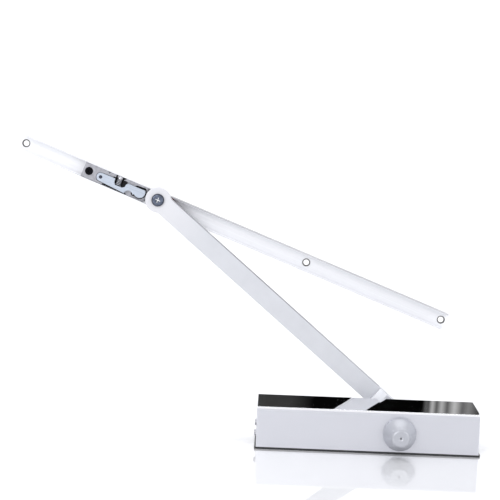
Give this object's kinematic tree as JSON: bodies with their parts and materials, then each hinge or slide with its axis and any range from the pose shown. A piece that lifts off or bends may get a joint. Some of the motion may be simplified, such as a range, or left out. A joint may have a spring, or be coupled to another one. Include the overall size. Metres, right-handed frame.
{
  "type": "guide rail closer with hold-open",
  "caption": "Hydraulic guide-rail closer: slim body with chrome cover and spindle cap, single flat arm, and a sliding channel rail with a sprung hold-open catch.",
  "frame": {"origin": "centre of the flat mounting face under the closer's body", "axes": "+Z away from the leaf that the body is screwed to, +X along the body towards its right end, +Y along the spindle from its capped end to the arm"},
  "size_m": [0.4474, 0.1249, 0.2781],
  "materials": {
    "black_steel": "satin black paint",
    "bright_steel": "bright zinc",
    "body_silver": "fine satin silver",
    "mirror_chrome": "mirror polished",
    "black_rubber": "matt",
    "bare_brass": "turned",
    "cap_plastic": "silver moulded",
    "spring_steel": "drawn wire",
    "cast_iron": "machined",
    "arm_paint": "silver white paint",
    "rail_paint": "white silver finish",
    "dark_steel": "blackened",
    "slide_plastic": "moulded",
    "red_rubber": "matt",
    "zinc_plate": "zinc plated",
    "lever_steel": "pressed steel",
    "black_screw": "black oxide"
  },
  "bodies": {
    "closer_body": {"mounting_plate": "black_steel", "plate_screws": "bright_steel", "housing": "body_silver", "cover_grommets": "black_rubber", "front_cover": "mirror_chrome", "end_plug_left": "bright_steel", "end_plug_right": "bright_steel", "end_plug_seals": "black_rubber", "valve_seals": "black_rubber", "bearing_front": "bright_steel", "bearing_back": "bright_steel", "bearing_cap_front": "bright_steel", "bearing_cap_back": "bright_steel", "spindle_seals": "black_rubber", "pinion_cap": "cap_plastic", "return_spring": "spring_steel"},
    "sweep_valve": {"sweep_valve": "bright_steel"},
    "latch_valve": {"latch_valve": "bright_steel"},
    "piston": {"piston": "cast_iron", "piston_seal": "black_rubber", "check_valve": "bare_brass"},
    "arm": {"spindle": "bright_steel", "arm": "arm_paint", "arm_washer": "bright_steel", "arm_screw": "dark_steel", "pivot_bush": "bare_brass"},
    "slide_block": {"slide_block": "slide_plastic", "pivot_screw": "dark_steel", "roller_pin": "bright_steel", "slide_buffer": "red_rubber"},
    "catch_roller": {"catch_roller": "bright_steel"},
    "rail": {"rail": "rail_paint"},
    "hold_open_unit": {"hold_open_base": "zinc_plate", "clamp_nut": "zinc_plate", "lever_rivet": "dark_steel", "hold_open_spring": "spring_steel"},
    "clamp_screw": {"clamp_screw": "black_screw"},
    "hold_open_lever": {"hold_open_lever": "lever_steel"},
    "force_screw": {"force_screw": "bright_steel"}
  },
  "joints": [
    {"name": "spindle_turn", "type": "hinge", "parent": "closer_body", "child": "arm", "pos_m": [0.0291, 0, 0.019], "axis": [0, -1, 0], "range_deg": [0, 190], "stiffness_Nm_per_rad": 6, "springref_deg": -57.3},
    {"name": "piston_slide", "type": "slide", "parent": "closer_body", "child": "piston", "axis": [-1, 0, 0], "range_m": [0, 0.0275], "deforming": ["return_spring"]},
    {"name": "block_pivot", "type": "hinge", "parent": "arm", "child": "slide_block", "pos_m": [-0.20552, 0.0545, 0.22009], "axis": [0, -1, 0], "continuous": true},
    {"name": "rail_slide", "type": "slide", "parent": "slide_block", "child": "rail", "axis": [0.9336, 0, -0.3584], "range_m": [-0.27, 0.004]},
    {"name": "hold_open_shift", "type": "slide", "parent": "rail", "child": "hold_open_unit", "axis": [0.9336, 0, -0.3584], "range_m": [-0.048, 0]},
    {"name": "hold_open_lever_tilt", "type": "hinge", "parent": "hold_open_unit", "child": "hold_open_lever", "pos_m": [-0.26258, 0.0653, 0.23942], "axis": [0, -1, 0], "range_deg": [0, 2.5], "stiffness_Nm_per_rad": 0.6, "springref_deg": -6.88, "deforming": ["hold_open_spring"]},
    {"name": "force_screw_turn", "type": "hinge", "parent": "hold_open_unit", "child": "force_screw", "pos_m": [-0.24344, 0.0649, 0.2385], "axis": [0.3584, 0, 0.9336], "range_deg": [-180, 180]},
    {"name": "clamp_screw_turn", "type": "hinge", "parent": "hold_open_unit", "child": "clamp_screw", "pos_m": [-0.27379, 0.0655, 0.2448], "axis": [0, -1, 0], "range_deg": [0, 360]},
    {"name": "catch_roller_spin", "type": "hinge", "parent": "slide_block", "child": "catch_roller", "pos_m": [-0.21525, 0.0652, 0.21761], "axis": [0, -1, 0], "continuous": true},
    {"name": "sweep_valve_turn", "type": "hinge", "parent": "closer_body", "child": "sweep_valve", "pos_m": [-0.1025, -0.0225, 0.014], "axis": [-1, 0, 0], "range_deg": [-180, 360]},
    {"name": "latch_valve_turn", "type": "hinge", "parent": "closer_body", "child": "latch_valve", "pos_m": [-0.1025, 0.0225, 0.014], "axis": [-1, 0, 0], "range_deg": [-180, 360]}
  ],
  "couplings": [
    {"joint": "piston_slide", "follows": "spindle_turn", "m_per_rad": 0.00825}
  ]
}
